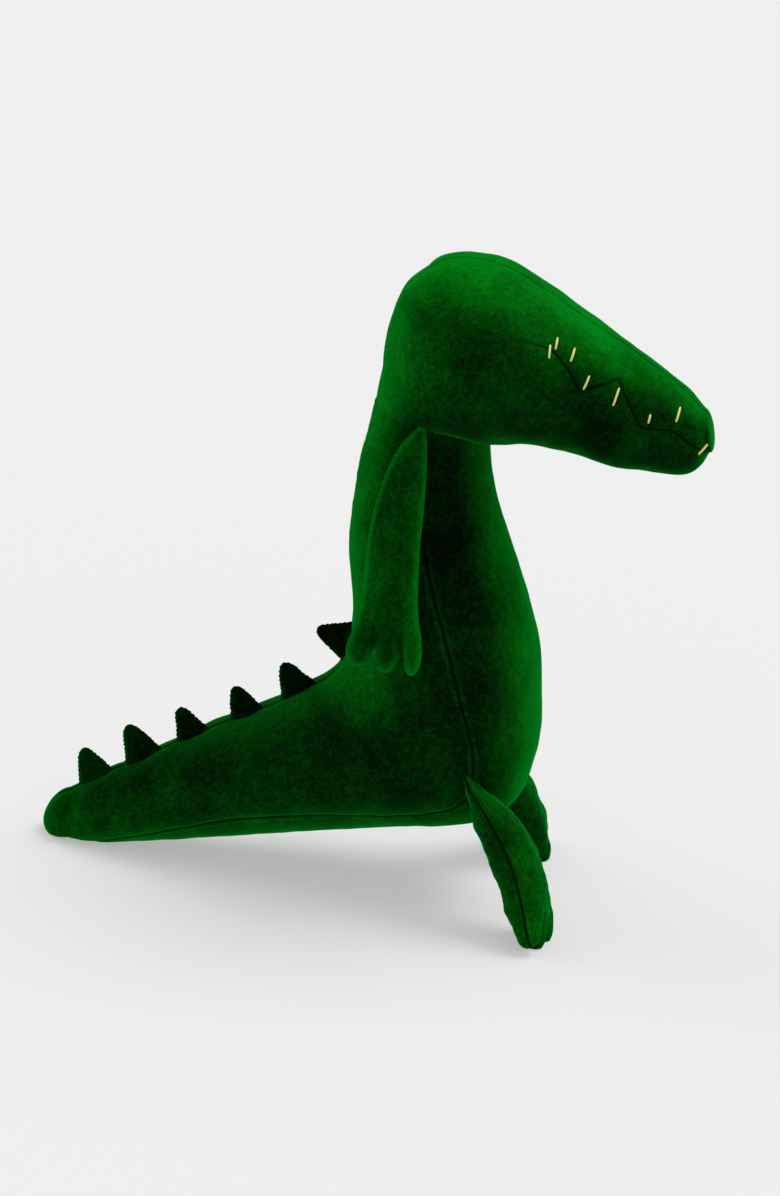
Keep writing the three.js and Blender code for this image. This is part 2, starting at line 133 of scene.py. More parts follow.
def lumps(points, size, seed, waves=28):
    """A smooth random field of about -1 to 1: many plane waves of about one size, summed."""
    draw = np.random.default_rng(seed)
    heading = draw.normal(size=(waves, 3))
    heading /= np.linalg.norm(heading, axis=1, keepdims=True)
    pitch = 2 * np.pi / (size * draw.uniform(0.7, 1.5, waves))
    phase = draw.uniform(0, 2 * np.pi, waves)
    flat = points.reshape(-1, 3)
    total = np.zeros(len(flat))
    for h, k, p in zip(heading, pitch, phase):
        total += np.sin(flat @ h * k + p)
    return (total / math.sqrt(waves / 2)).reshape(points.shape[:-1])


def normals(points):
    """Unit normals of a grid of points whose last column joins its first, from the cross product
    of its two tangents."""
    down = np.gradient(points, axis=0)
    around = (np.roll(points, -1, axis=1) - np.roll(points, 1, axis=1)) / 2
    n = np.cross(down, around)
    return n / np.maximum(np.linalg.norm(n, axis=-1, keepdims=True), 1e-9)


def smoothstep(value, low, high):
    """0 up to low and 1 from high on, with a smooth rise between: 3 t squared less 2 t cubed."""
    t = np.clip((value - low) / (high - low), 0, 1)
    return t * t * (3 - 2 * t)


# ---- Meshes ----------------------------------------------------------------------------------


def new_mesh(name, vertices, loops, sizes, uv, seam, nap_and_painted_light):
    """A mesh from its points in millimetres, the corners of its faces, its UVs in metres, its
    distance to the nearest seam in millimetres and how light its colour is made, 0 to 1, which
    holds painted light and shade."""
    mesh = bpy.data.meshes.new(name)
    starts = np.r_[0, np.cumsum(sizes)[:-1]]
    mesh.vertices.add(len(vertices))
    mesh.vertices.foreach_set("co", (vertices * MM).astype(np.float32).ravel())
    mesh.loops.add(len(loops))
    mesh.loops.foreach_set("vertex_index", loops.astype(np.int32))
    mesh.polygons.add(len(sizes))
    mesh.polygons.foreach_set("loop_start", starts.astype(np.int32))
    mesh.polygons.foreach_set("loop_total", np.asarray(sizes, np.int32))
    mesh.polygons.foreach_set("use_smooth", np.ones(len(sizes), bool))
    mesh.uv_layers.new(name="grain").data.foreach_set("uv", uv.astype(np.float32).ravel())
    # the second attribute is the lightness of the colour: nap together with painted light and
    # shade
    for layer, values in (("seam", seam), ("nap_and_painted_light", nap_and_painted_light)):
        attribute = mesh.attributes.new(layer, "FLOAT", "POINT")
        attribute.data.foreach_set("value", np.asarray(values, np.float32))
    mesh.update()
    mesh.validate()
    obj = bpy.data.objects.new(name, mesh)
    bpy.context.collection.objects.link(obj)
    return obj


EVEN_NAP = 0.4


def tube(name, points, across, along, seam, nap_and_painted_light=None, flip=False):
    """A closed skin from a grid of rows round a path. The first and last rows are poles, and the
    last column joins the first. across holds the U of each face's left and right edge, and along
    the V of each row. flip turns the faces over, where the grid runs the other way round."""
    rows, columns = points.shape[:2]
    middle = points[1:-1].reshape(-1, 3)
    vertices = np.vstack([middle, points[0, :1], points[-1, :1]])
    number = np.arange((rows - 2) * columns).reshape(rows - 2, columns)
    right = np.roll(number, -1, axis=1)
    quads = np.stack([number[:-1], right[:-1], right[1:], number[1:]], -1).reshape(-1, 4)
    first = np.stack([np.full(columns, len(middle)), right[0], number[0]], -1)
    last = np.stack([np.full(columns, len(middle) + 1), number[-1], right[-1]], -1)
    u0, u1 = across
    v = np.broadcast_to(along[:, None], (rows, columns))
    pole = np.zeros_like(u0)

    def corners(*places):
        return np.stack([np.stack([u[row], v[row]], -1) for u, row in places], -2).reshape(-1, 2)

    above, below = slice(1, -2), slice(2, -1)
    quad_uv = corners((u0, above), (u1, above), (u1, below), (u0, below))
    first_uv = corners((pole, 0), (u1, 1), (u0, 1))
    last_uv = corners((pole, -1), (u0, -2), (u1, -2))
    loops = np.concatenate([quads.ravel(), first.ravel(), last.ravel()])
    uv = np.vstack([quad_uv, first_uv, last_uv]) * MM
    sizes = np.r_[np.full(len(quads), 4), np.full(2 * columns, 3)]
    seams = np.r_[seam[1:-1].ravel(), seam[0, 0], seam[-1, 0]]
    nap_and_painted_light = np.full((rows, columns), EVEN_NAP) if nap_and_painted_light is None else nap_and_painted_light
    naps_and_painted_light = np.r_[nap_and_painted_light[1:-1].ravel(), nap_and_painted_light[0].mean(), nap_and_painted_light[-1].mean()]
    if flip:
        number = np.arange(len(loops))
        quad_corners, pole_corners = number[: quads.size], number[quads.size :]
        turned = [quad_corners.reshape(-1, 4)[:, ::-1], pole_corners.reshape(-1, 3)[:, ::-1]]
        order = np.concatenate([corner.ravel() for corner in turned])
        loops, uv = loops[order], uv[order]
    return new_mesh(name, vertices, loops, sizes, uv, seams, naps_and_painted_light)


# ---- Lofted forms ----------------------------------------------------------------------------


class Loft:
    """A stuffed form carried along a path. Each section runs from a back point to a front point
    in the middle plane, as an ellipse of a given half width: centre plus cosine of the turn times
    the half chord plus sine of the turn times the half width. Its ends close in domes. blunt is
    the power of each dome's profile: a round one has 1, and a flatter one has less."""

    def __init__(self, stations, rows, start_dome, end_dome, blunt):
        stations = np.asarray(stations, float)
        dense = table_curve(stations, np.linspace(0, len(stations) - 1, 1200))
        at = even_steps((dense[:, 0:2] + dense[:, 2:4]) / 2, rows)
        pick = np.stack([np.interp(at, np.arange(len(dense)), c) for c in dense.T], 1)
        self.start_dome, self.end_dome = start_dome, end_dome
        self.blunt = blunt
        back, front = pick[:, 0:2], pick[:, 2:4]
        self.centre, self.half = (back + front) / 2, (front - back) / 2
        self.width = pick[:, 4]
        self.seam = pick[:, 5]

    def domed(self, dome_rows):
        """The sections with those of the two domes added: each shrinks by a power of the cosine
        of a turn and moves out by its sine times the dome's height."""
        centre, half, width, seam = self.centre, self.half, self.width, self.seam
        turn = np.linspace(0, np.pi / 2, dome_rows + 1)[1:]
        out0 = centre[0] - centre[1]
        out0 /= np.linalg.norm(out0)
        out1 = centre[-1] - centre[-2]
        out1 /= np.linalg.norm(out1)
        first = centre[0] + np.sin(turn)[::-1, None] * self.start_dome * out0
        last = centre[-1] + np.sin(turn)[:, None] * self.end_dome * out1
        shrink = np.maximum(np.cos(turn), 0)
        shrink[-1] = 0
        small, little = shrink[::-1] ** self.blunt[0], shrink ** self.blunt[1]
        return (
            np.vstack([first, centre, last]),
            np.vstack([small[:, None] * half[0], half, little[:, None] * half[-1]]),
            np.r_[small * width[0], width, little * width[-1]],
            np.r_[np.full(dome_rows, seam[0]), seam, np.full(dome_rows, seam[-1])],
        )

    def grid(self, turns, dome_rows):
        """Points of the form: one row per section, one column per turn (rows by columns)."""
        centre, half, width, _ = self.domed(dome_rows)
        cos, sin = np.cos(turns), np.sin(turns)
        x = centre[:, :1] + half[:, :1] * cos
        z = centre[:, 1:] + half[:, 1:] * cos
        y = width[:, None] * sin
        return np.stack([x, y, z], -1)


def half_breadth(loft, x, z):
    """How far out the form's left side is where the side view shows the point (x, z). The point
    lies on one section's chord, and the cosine of its turn is its place on that chord."""
    px, pz = x - loft.centre[:, 0], z - loft.centre[:, 1]
    cross = loft.half[:, 0] * pz - loft.half[:, 1] * px
    crossed = np.nonzero(np.diff(np.sign(cross)))[0]
    i = crossed[0] if len(crossed) else int(np.abs(cross).argmin())
    t = cross[i] / (cross[i] - cross[i + 1]) if len(crossed) else 0.0
    j = min(i + 1, len(loft.half) - 1)
    half = loft.half[i] * (1 - t) + loft.half[j] * t
    centre = loft.centre[i] * (1 - t) + loft.centre[j] * t
    width = loft.width[i] * (1 - t) + loft.width[j] * t
    cos = ((x - centre[0]) * half[0] + (z - centre[1]) * half[1]) / (half @ half)
    return width * math.sin(math.acos(max(-1, min(1, cos))))


def on_side(loft, points):
    """Points on the form's left side whose side view is the given curve."""
    return np.array([(x, half_breadth(loft, x, z), z) for x, z in points])


GATHER = 0.62  # how strongly columns gather at a seam, from 0 to 1


def seam_columns(seam, front, side):
    """Turns round a form, rows by columns, starting at the front: the columns gather at the seam
    and at the back, whose own columns lie right on the seams."""
    t = np.linspace(0, 1, front + 1)
    t = t + GATHER * np.sin(np.pi * t) / np.pi
    first = seam[:, None] * t[None, :]
    t = np.linspace(0, 1, side + 1)[1:]
    t = t - GATHER * np.sin(2 * np.pi * t) / (2 * np.pi)
    second = seam[:, None] + (np.pi - seam[:, None]) * t[None, :]
    half = np.hstack([first, second])
    return np.hstack([half, -half[:, -2:0:-1]])


def round_lengths(points):
    """Length round each row from its first column. The extra last column is the whole length."""
    step = np.linalg.norm(np.roll(points, -1, axis=1) - points, axis=-1)
    return np.hstack([np.zeros((len(points), 1)), np.cumsum(step, axis=1)])


def mirrored_lengths(run):
    """Length round each row from its first column, by the shorter way: the same on both sides."""
    return np.minimum(run[:, :-1], run[:, -1:] - run[:, :-1])


def row_lengths(points):
    """Length along the middle of a form at each row."""
    return np.cumsum(np.linalg.norm(np.gradient(points.mean(1), axis=0), axis=1))


def side_edges(run):
    """The U of each face's left and right edge: length round its row from the front, which is
    less than 0 on the right side."""
    left, right, total = run[:, :-1], run[:, 1:], run[:, -1:]
    on_right = np.arange(left.shape[1]) >= left.shape[1] // 2
    return np.where(on_right, left - total, left), np.where(on_right, right - total, right)


# ---- Groove, puff and puckers ----------------------------------------------------------------

GROOVE_DEPTH = 1.5
GROOVE_WIDTH = 1.3
PUFF_REACH = 11.0
PUCKER_PITCHES = (5.5, 8.0, 12.5, 19.0)
NECK_CREASE_DEPTH = 0.9
NECK_CREASE_WIDTH = 2.2


def sewn(distance, run, seed, depth=GROOVE_DEPTH, puff=1.0, pucker=0.35):
    """Height of the skin near a seam: a sharp groove that fades with distance, a swell beside it
    and puckers along it, which are sums of sines of the length along the seam."""
    draw = np.random.default_rng(seed)
    groove = -depth * np.exp(-distance / GROOVE_WIDTH)
    swell = puff * (1 - np.exp(-((distance / PUFF_REACH) ** 2))) - puff
    ripple = np.zeros_like(distance)
    for pitch in PUCKER_PITCHES:
        ripple += np.sin(2 * np.pi * run / (pitch * draw.uniform(0.9, 1.1)) + draw.uniform(0, 6.3))
    swing = 0.5 + 0.5 * np.sin(run / 31.0 + draw.uniform(0, 6.3))
    ripple *= pucker * 0.4 * swing * np.exp(-distance / 6.0) * (1 - np.exp(-distance / 1.5))
    return groove + swell + ripple


def neck_crease(along, start):
    """The hollow where the head and the body are sewn together, along a form from its start."""
    away = np.abs(along - along[start])
    return -NECK_CREASE_DEPTH * np.exp(-away / NECK_CREASE_WIDTH)[:, None]


def spot(points, where, wide):
    """A soft round patch seen from the side: a bell of the distance to its middle."""
    away = (points[..., 0] - where[0]) ** 2 + (points[..., 2] - where[1]) ** 2
    return np.exp(-away / wide**2)


def dent(points, where, depth, wide):
    """A round hollow: depth times a bell of the distance to its middle, on both sides."""
    x, z = (points[..., 0] - where[0]) / wide, (points[..., 2] - where[1]) / wide
    away = np.sqrt(x**2 + z**2)
    off_middle = smoothstep(np.abs(points[..., 1]), 4, 14)
    return -depth * np.exp(-(away**2)) * off_middle


# ---- Body ------------------------------------------------------------------------------------

# back x, back z, front x, front z, half width, turn of the side seam from the front in degrees
BODY_STATIONS = [
    [-22.7, 312, 50, 302, 36, 96],
    [-25.4, 289, 53.5, 282, 40, 95],
    [-28.0, 266, 60, 260, 44, 94],
    [-28.0, 226, 77.5, 221, 54, 91],
    [-21.5, 186, 94.5, 180, 62, 86],
    [-18, 158, 104.5, 138, 66, 79],
    [-22, 138, 107, 99, 67, 67],
    [-31, 125, 97, 64, 65, 57],
    [-44, 116, 71, 48, 62, 56],
    [-61, 104, 29, 39.5, 57, 60],
    [-82, 92, -20, 28.5, 49, 64.5],
    [-105, 78, -66, 18, 42, 66],
    [-131, 61, -105, 9, 34, 57],
    [-154, 46, -143, 0.5, 28, 39],
    [-168, 37, -162, -4, 23, 30],
    [-178, 29.5, -175, -4.5, 19, 27],
]
BODY_ROWS = 340
BODY_DOME = 16  # rows of each end's dome
BELLY_COLUMNS = 66  # from the front to a side seam
FLANK_COLUMNS = 58  # from a side seam to the back
FLOOR_REST = 0.15  # how far above the floor the cloth lies


def make_body():
    """The body and tail in one skin: a belly panel below the side seams and two side panels that
    meet along the back. How light its colour is made is painted light and shade: the sum of smooth
    steps of place and of slope, lighter where the skin faces forward, back or down and darker on
    top of the tail, a painted highlight beside the side seams, and spots of painted shadow where
    the arm shades the flank and of painted light."""
    dome, front = BODY_DOME, BELLY_COLUMNS
    loft = Loft(BODY_STATIONS, BODY_ROWS, 6, 16.5, blunt=(0.35, 1.1))
    seam = loft.domed(dome)[3]
    turns = seam_columns(np.radians(seam), front, FLANK_COLUMNS)
    points = loft.grid(turns, dome)
    points[..., 2] = np.maximum(points[..., 2], FLOOR_REST + 0.02 * np.maximum(0, points[..., 2]))
    half = front + FLANK_COLUMNS
    run = round_lengths(points)
    mirrored = mirrored_lengths(run)
    seam_run = run[:, front : front + 1]
    back_run = run[:, half : half + 1]
    to_seam = np.abs(mirrored - seam_run)
    to_back = np.abs(back_run - mirrored)
    rows = np.arange(len(points))
    along = row_lengths(points)
    right = points[..., 1] < 0
    run_length = np.broadcast_to(along[:, None], to_seam.shape)
    height = sewn(to_seam, run_length + 57 * right, 3)
    height += sewn(to_back, run_length, 5, depth=1.0, puff=0.5)
    height += 0.28 * lumps(points, 42, 11) + 0.10 * lumps(points, 16, 12)
    out = normals(points)
    fade = smoothstep(rows, dome - 1, dome + 12)[:, None] * smoothstep(rows[::-1], 2, 16)[:, None]
    height = height * fade + neck_crease(along, dome)
    skin = points + out * height[..., None]
    skin[..., 2] = np.maximum(skin[..., 2], FLOOR_REST)
    side_middle = (seam_run + back_run) / 2
    panel = np.arange(2 * half)
    left_side = (panel >= front) & (panel < half)
    right_side = (panel >= half) & (panel < 2 * half - front)
    shift = np.where(left_side, -side_middle, 0) + np.where(right_side, side_middle, 0)
    across = [edge + shift for edge in side_edges(run)]
    near = np.minimum(to_seam, to_back)
    # Painted light and shade from here on: lighter where the skin faces forward, back or down,
    # darker on top of the tail.
    nx, nz = out[..., 0], out[..., 2]
    on_tail = smoothstep(-points[..., 0], -15, 85) * smoothstep(-points[..., 2], -175, -75)
    torso = 1 - on_tail
    nap_and_painted_light = 0.26 + 0.13 * on_tail + 0.20 * smoothstep(-nz, 0.2, 0.9)
    nap_and_painted_light += torso * (0.50 * smoothstep(nx, 0.45, 1.0) + 0.40 * smoothstep(-nx, 0.2, 0.9))
    nap_and_painted_light -= 0.10 * smoothstep(nz, 0.1, 0.8) * on_tail
    # A painted highlight in a band beside each side seam.
    nap_and_painted_light += 0.13 * np.exp(-(((to_seam - 2.6) / 1.3) ** 2))
    # Painted shadow of the arm down the flank, then pools of painted light on the torso and at the
    # tail's tip.
    nap_and_painted_light -= 0.20 * spot(points, (26, 285), 19) + 0.19 * spot(points, (33, 245), 20)
    nap_and_painted_light -= 0.14 * spot(points, (43, 207), 20) + 0.06 * spot(points, (57, 175), 18)
    nap_and_painted_light += 0.06 * spot(points, (10, 150), 34) + 0.12 * spot(points, (-176, 16), 20)
    return tube("body_skin", skin, across, along, near, nap_and_painted_light, flip=True)


# ---- Head ------------------------------------------------------------------------------------

HEAD_STATIONS = [
    [-22.7, 312, 50, 302.5, 36, 109],
    [-21.8, 332, 61, 298, 45, 114],
    [-21.5, 351, 75, 300.5, 52, 117],
    [-19.5, 369, 89, 301, 57, 123],
    [-15, 385.5, 100, 299.5, 60, 130],
    [-4.5, 399, 107, 298, 62, 118],
    [6, 408, 113, 296.5, 62, 114],
    [23, 412.5, 121, 294, 60, 112],
    [45, 411, 127, 292.5, 57, 112],
    [71, 399.5, 139, 291.5, 51, 94],
    [101, 384, 151, 291.5, 44, 105],
    [127.5, 369, 165, 291.5, 37, 93],
    [150, 356.5, 176, 294, 31, 102],
    [167.5, 346, 183, 300, 26, 91],
    [180, 335, 187, 308, 18, 86],
]
MOUTH = [
    [6, 371], [24, 374], [46, 378], [64, 380], [77, 377], [84, 374], [91, 367.5],
    [97, 360], [101.5, 354.2], [103.2, 353.0], [105.5, 353.2], [112, 354.8], [119, 357],
    [123.5, 358.4], [125.2, 358.2], [126.8, 356], [131, 348.5], [137, 338.5], [142, 331.2],
    [144, 329.6], [147, 329.2], [157, 328.6], [161, 328.2], [164, 327], [172, 321], [184, 313],
]  # fmt: skip
NAPE = [
    [-7, 418], [-6, 413], [-3, 403], [1, 390], [5, 377], [4, 363], [2.5, 350], [2.5, 338],
    [4, 326], [4.6, 312],
]  # fmt: skip
# x, z, depth and width of each hollow beside the mouth; a depth below 0 is a swell
HOLLOWS = [
    [84, 368, 1.6, 7],
    [98, 356, 2.2, 9],
    [120, 346, 2.0, 11],
    [142, 328, 2.0, 8],
    [158, 322, 1.2, 8],
    [112, 318, 1.4, 16],
    [104, 364, -1.0, 8],
    [132, 352, -1.2, 7],
]
HEAD_ROWS = 224
HEAD_COLUMNS = 360
HEAD_DOME = 12  # rows of each end's dome
SEAM_STEP = 0.6  # between the points of a seam's line


def make_head():
    """The head in one skin: two nape panels behind, two crown panels above the zigzag of the
    mouth and two jaw panels below it. How light its colour is made is painted light and shade,
    made as the body's is: lighter on the crown, at the back and at the front, darker underneath,
    with spots of painted shade on the jaw and painted light on the snout's side."""
    loft = Loft(HEAD_STATIONS, HEAD_ROWS, 6, 4, blunt=(0.35, 0.8))
    turns = np.linspace(0, 2 * np.pi, HEAD_COLUMNS, endpoint=False)
    turns = np.broadcast_to(turns, (HEAD_ROWS + 2 * HEAD_DOME, HEAD_COLUMNS))
    turns = np.where(turns > np.pi, turns - 2 * np.pi, turns)
    points = loft.grid(turns, HEAD_DOME)
    half = HEAD_COLUMNS // 2
    run = round_lengths(points)
    to_under = mirrored_lengths(run)
    to_top = np.abs(run[:, half : half + 1] - to_under)
    folded = points.copy()
    folded[..., 1] = np.abs(folded[..., 1])
    right = points[..., 1] < 0
    to_mouth, mouth_step = nearest(folded, on_side(loft, polyline(MOUTH, SEAM_STEP)))
    to_nape, nape_step = nearest(folded, on_side(loft, polyline(NAPE, SEAM_STEP)))
    mouth_run = SEAM_STEP * mouth_step + 41 * right
    nape_run = SEAM_STEP * nape_step + 23 * right
    along = row_lengths(points)
    in_front = smoothstep(points[..., 0], -2, 8)
    strong = 0.30 + 0.70 * smoothstep(points[..., 0], 58, 86)
    height = strong * sewn(to_mouth, mouth_run, 21, depth=1.5, puff=1.2, pucker=0.5)
    height += sewn(to_nape, nape_run, 22, depth=0.65, puff=0.4, pucker=0.25)
    run_length = np.broadcast_to(along[:, None], to_top.shape)
    height += sewn(to_top, run_length, 23, depth=0.9, puff=0.8)
    height += sewn(to_under, run_length, 24, depth=0.9, puff=0.5) * in_front
    height += 0.3 * lumps(points, 42, 31) + 0.10 * lumps(points, 15, 32)
    for x, z, depth, wide in HOLLOWS:
        height += dent(points, (x, z), depth, wide)
    rows = np.arange(len(points))
    fade = smoothstep(rows, HEAD_DOME - 1, HEAD_DOME + 12) * smoothstep(rows[::-1], 2, 12)
    height = height * fade[:, None] + neck_crease(along, HEAD_DOME)
    out = -normals(points)
    skin = points + out * height[..., None]
    nx, nz = out[..., 0], out[..., 2]
    # Painted light and shade: the crown lighter where the skin faces up, less so on the snout;
    # back and front lighter; the underside darker; spots of painted shade below the mouth and
    # painted light above it.
    crown = 0.56 - 0.16 * smoothstep(points[..., 0], 70, 140)
    nap_and_painted_light = 0.36 + crown * smoothstep(nz, 0.40, 1.0) + 0.42 * smoothstep(-nx, 0.3, 0.95)
    nap_and_painted_light += 0.36 * smoothstep(nx, 0.55, 0.98) - 0.20 * smoothstep(-nz, 0.05, 0.7)
    nap_and_painted_light -= 0.15 * spot(points, (118, 329), 18) + 0.12 * spot(points, (90, 344), 15)
    nap_and_painted_light += 0.12 * spot(points, (112, 372), 24) - 0.04 * spot(points, (28, 366), 26)
    near = np.minimum(to_mouth + 1.1 * (1 - strong), to_nape + 0.7)
    near = np.minimum(near, np.minimum(to_top + 0.4, to_under + 99 * (1 - in_front)))
    return tube("head_skin", skin, side_edges(run), along, near, nap_and_painted_light)


# ---- Limbs -----------------------------------------------------------------------------------


def pillow(left, right, end, depth, rows, columns, reach, crest):
    """A flat limb sewn from two panels. left and right give its edges across for a length down,
    end gives how far down it reaches for a place across from 0 to 1. Its two faces rise from the
    edge as a power of a quarter circle of the distance to the edge. Gives each point's place on
    the flat panel, its distance to the edge, its rise, and the edge's distance along the cloth."""
    v = np.linspace(0, 1, rows)
    v = v + 0.11 * np.sin(np.pi * v) * v
    v = np.clip(v / v[-1], 0, 1)
    u = (1 - np.cos(np.pi * np.linspace(0, 1, columns))) / 2
    top, bottom = end(u)
    down = top[None, :] + (bottom - top)[None, :] * v[:, None]
    across = left(down) + (right(down) - left(down)) * u[None, :]
    flat = np.stack([across, down], -1)
    edge = np.vstack([flat[:, 0], flat[-1, 1:], flat[::-1, -1][1:], flat[0, ::-1][1:]])
    away = nearest(flat, straight_steps(edge, 0.5))[0]
    away[:, 0] = away[:, -1] = 0
    away[-1] = away[0] = 0
    t = np.clip(away / reach, 0, 1)
    rise = (1 - (1 - t) ** 2) ** crest * depth(down)
    return flat, away, rise, np.hypot(away, rise)


def close_pillow(name, front, back, flat, to_edge, nap_and_painted_light, back_nap_and_painted_light):
    """Joins the two faces of a pillow, which share the points of their edge, into one mesh."""
    rows, columns = front.shape[:2]
    number = np.arange(rows * columns).reshape(rows, columns)
    inside = np.zeros((rows, columns), bool)
    inside[1:-1, 1:-1] = True
    other = number.copy()
    other[inside] = rows * columns + np.arange(inside.sum())
    vertices = np.vstack([front.reshape(-1, 3), back[inside]])

    def quads(n):
        return np.stack([n[1:, :-1], n[1:, 1:], n[:-1, 1:], n[:-1, :-1]], -1).reshape(-1, 4)

    over, under = quads(number), quads(other)[:, ::-1]
    loops = np.concatenate([over.ravel(), under.ravel()])
    uv = flat.reshape(-1, 2)[np.vstack([over, over[:, ::-1]])].reshape(-1, 2)
    seam = np.r_[to_edge.ravel(), to_edge[inside]]
    sizes = np.full(len(over) + len(under), 4)
    naps_and_painted_light = np.r_[nap_and_painted_light.ravel(), back_nap_and_painted_light[inside]]
    return new_mesh(name, vertices, loops, sizes, uv * MM, seam, naps_and_painted_light)


ARM_ROOT = (4.0, 46.5, 297.0)
ARM_LEAN = math.radians(14)
ARM_GRAIN = 300  # where the arms' panels lie on the cloth that all are cut from
# length down from the root, edge behind, edge in front
ARM_EDGES = [
    [-15, 7.0, 10.5], [-9.5, 2.4, 12.0], [-1.5, -3.4, 13.6], [9, -8.0, 15.0], [18, -10.6, 15.8],
    [36, -14.0, 16.7], [59, -15.4, 17.7], [87, -14.6, 20.2], [102, -14.9, 22.8],
    [113, -16.8, 25.9], [120, -18.8, 27.2], [126, -19.6, 27.8], [137, -19.6, 27.8],
    [160, -19.6, 27.8],
]  # fmt: skip
FINGER_NOTCHES = (-5.9, 10.8)  # places across the hand
# place across the hand from 0 to 1, length down where it ends
ARM_TIPS = [
    [0.0, 125.5], [0.02, 129.5], [0.07, 133.4], [0.14, 135.6], [0.22, 135.8], [0.30, 133.0],
    [0.345, 127.4], [0.375, 121.5], [0.40, 126.8], [0.45, 134.8], [0.51, 137.4], [0.59, 137.2],
    [0.655, 133.6], [0.70, 126.4], [0.728, 121.5], [0.76, 127.2], [0.81, 134.8], [0.88, 137.4],
    [0.945, 135.6], [0.985, 131.0], [1.0, 125.5],
]  # fmt: skip


def make_arm(name, side):
    """An arm: a long flat pillow with three fingers, hung from a narrow root at the neck."""
    edges, tips = np.array(ARM_EDGES), np.array(ARM_TIPS)
    dense = table_curve(edges, np.linspace(0, len(edges) - 1, 400))
    tips = table_curve(tips, np.linspace(0, len(tips) - 1, 600))

    def left(d):
        return np.interp(d, dense[:, 0], dense[:, 1]) - ARM_ROOT[0]

    def right(d):
        return np.interp(d, dense[:, 0], dense[:, 2]) - ARM_ROOT[0]

    def end(u):
        return np.full(len(u), edges[0, 0]), np.interp(u, tips[:, 0], tips[:, 1])

    def depth(d):
        return 5.0 + 6.0 * smoothstep(d, -12, 45) - 1.2 * smoothstep(d, 110, 138)

    flat, away, rise, cloth = pillow(
        left, right, end, depth, rows=200, columns=96, reach=9.5, crest=0.52
    )
    a, d = flat[..., 0], flat[..., 1]
    ridge = 0.75 * np.exp(-(((away - 4.6) / 1.1) ** 2))
    ridge = ridge * smoothstep(-a, 2, 7) * smoothstep(-d, -122, -100)
    space = np.stack([a, np.zeros_like(a), d], -1)
    puck = 0.35 * lumps(space, 16, 41 + int(side > 0)) + 0.16 * lumps(space, 7, 43)
    shape = smoothstep(away, 0, 5)
    front = rise + puck * shape - ridge
    back = -(rise + 0.35 * lumps(space, 16, 45) * shape)
    knuckle = np.zeros_like(a)
    for x in FINGER_NOTCHES:
        line = x + 0.10 * (d - 130)
        knuckle += 2.6 * np.exp(-(((a - line) / 2.0) ** 2)) * smoothstep(d, 104, 124)
    front = front - knuckle * shape
    back = back + knuckle * shape
    out = np.array([0, side * math.cos(ARM_LEAN), math.sin(ARM_LEAN)])
    below = np.array([0, side * math.sin(ARM_LEAN), -math.cos(ARM_LEAN)])
    root = np.array([ARM_ROOT[0], side * ARM_ROOT[1], ARM_ROOT[2]])
    tuck = -7.5 * (1 - smoothstep(d, -20, 26))
    bow = 2.0 * np.sin(np.pi * np.clip(d / 138, 0, 1))

    def placed(rise_):
        p = root + a[..., None] * np.array([1.0, 0, 0]) + d[..., None] * below
        return p + (rise_ + bow)[..., None] * out + tuck[..., None] * np.array([0, side, 0])

    over, under = placed(front), placed(back)
    if side > 0:
        over, under = under, over
    # Painted light and shade: lighter towards the front edge and in a painted highlight along the
    # edge, darker in the knuckle creases as painted shade.
    nap_and_painted_light = 0.44 + 0.18 * smoothstep(a, 2, 16) + 0.22 * smoothstep(-away, -5, -1) - 0.13 * knuckle
    return close_pillow(name, over, under, flat + ARM_GRAIN, cloth, nap_and_painted_light, nap_and_painted_light)


HIP = (69.0, 46.0, 80.0)
FOOT = (115.0, 84.0, 5.0)
LEG_GRAIN = 500  # where the legs' panels lie on the cloth
# how far forward of the line from hip to foot each side's leg hangs, and how far it bows ahead
LEG_HANG = {1: (-2.0, 4.5), -1: (4.0, 7.0)}
TOE_NOTCHES = (-7.7, 7.7)  # places across the foot
# length down, half width, half thickness
LEG_FORM = [
    [-27, 15, 1.5], [-20, 18, 2.0], [-10, 20.5, 3.0], [0, 21, 5.2], [10, 21, 8.4],
    [22, 21, 12.2], [36, 20.5, 14.4], [58, 20.5, 14.4], [80, 22, 13.0], [94, 23.5, 11.4],
    [110, 24, 10.2], [130, 24, 10.0],
]  # fmt: skip
# place across the foot from 0 to 1, length down where it ends
LEG_TIPS = [
    [0.0, 93.0], [0.02, 97.5], [0.08, 102.6], [0.17, 104.9], [0.25, 103.6], [0.31, 100.2],
    [0.345, 97.6], [0.38, 100.4], [0.43, 104.8], [0.50, 106.6], [0.57, 104.8], [0.62, 100.4],
    [0.655, 97.6], [0.69, 100.2], [0.75, 103.6], [0.83, 104.9], [0.92, 102.6], [0.98, 97.5],
    [1.0, 93.0],
]  # fmt: skip


